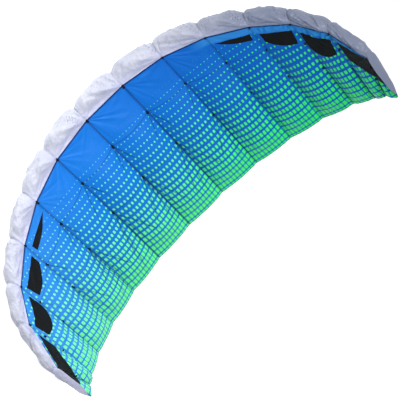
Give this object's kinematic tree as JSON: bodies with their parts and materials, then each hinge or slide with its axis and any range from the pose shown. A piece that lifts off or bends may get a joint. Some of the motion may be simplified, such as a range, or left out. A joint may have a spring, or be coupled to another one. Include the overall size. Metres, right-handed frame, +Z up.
{
  "type": "foil stunt kite",
  "caption": "Inflated foil stunt kite lying on its back: an arched, ribbed wing with a dotted blue-to-green belly, a white nose and black mesh air inlets.",
  "frame": {"origin": "centre of the flat spot on the back of the middle cell, on the surface that the kite lies on", "axes": "+X along the span to the right wing tip, +Y towards the leading edge, +Z up, out of the belly"},
  "size_m": [1.7325, 0.8204, 0.4621],
  "materials": {
    "printed_ripstop": "thin coated ripstop, printed with a grid of green dots that grow towards the trailing edge",
    "white_ripstop": "thin coated white ripstop with a soft sheen",
    "rib_ripstop": "thin white ripstop, hidden inside the wing",
    "black_mesh": "fine black mesh over the air inlets",
    "black_webbing": "black bridle loops and seam thread"
  },
  "bodies": {
    "root": {"belly_panel_01": "printed_ripstop", "belly_panel_02": "printed_ripstop", "belly_panel_03": "printed_ripstop", "belly_panel_04": "printed_ripstop", "belly_panel_05": "printed_ripstop", "belly_panel_06": "printed_ripstop", "belly_panel_07": "printed_ripstop", "belly_panel_08": "printed_ripstop", "belly_panel_09": "printed_ripstop", "belly_panel_10": "printed_ripstop", "belly_panel_11": "printed_ripstop", "belly_panel_12": "printed_ripstop", "belly_panel_13": "printed_ripstop", "belly_panel_14": "printed_ripstop", "belly_panel_15": "printed_ripstop", "air_inlet_01": "black_mesh", "air_inlet_02": "black_mesh", "air_inlet_03": "black_mesh", "air_inlet_04": "black_mesh", "air_inlet_05": "black_mesh", "air_inlet_11": "black_mesh", "air_inlet_12": "black_mesh", "air_inlet_13": "black_mesh", "air_inlet_14": "black_mesh", "air_inlet_15": "black_mesh", "top_panel_01": "white_ripstop", "top_panel_02": "white_ripstop", "top_panel_03": "white_ripstop", "top_panel_04": "white_ripstop", "top_panel_05": "white_ripstop", "top_panel_06": "white_ripstop", "top_panel_07": "white_ripstop", "top_panel_08": "white_ripstop", "top_panel_09": "white_ripstop", "top_panel_10": "white_ripstop", "top_panel_11": "white_ripstop", "top_panel_12": "white_ripstop", "top_panel_13": "white_ripstop", "top_panel_14": "white_ripstop", "top_panel_15": "white_ripstop", "rib_01": "rib_ripstop", "rib_02": "rib_ripstop", "rib_03": "rib_ripstop", "rib_04": "rib_ripstop", "rib_05": "rib_ripstop", "rib_06": "rib_ripstop", "rib_07": "rib_ripstop", "rib_08": "rib_ripstop", "rib_09": "rib_ripstop", "rib_10": "rib_ripstop", "rib_11": "rib_ripstop", "rib_12": "rib_ripstop", "rib_13": "rib_ripstop", "rib_14": "rib_ripstop"}
  },
  "joints": []
}
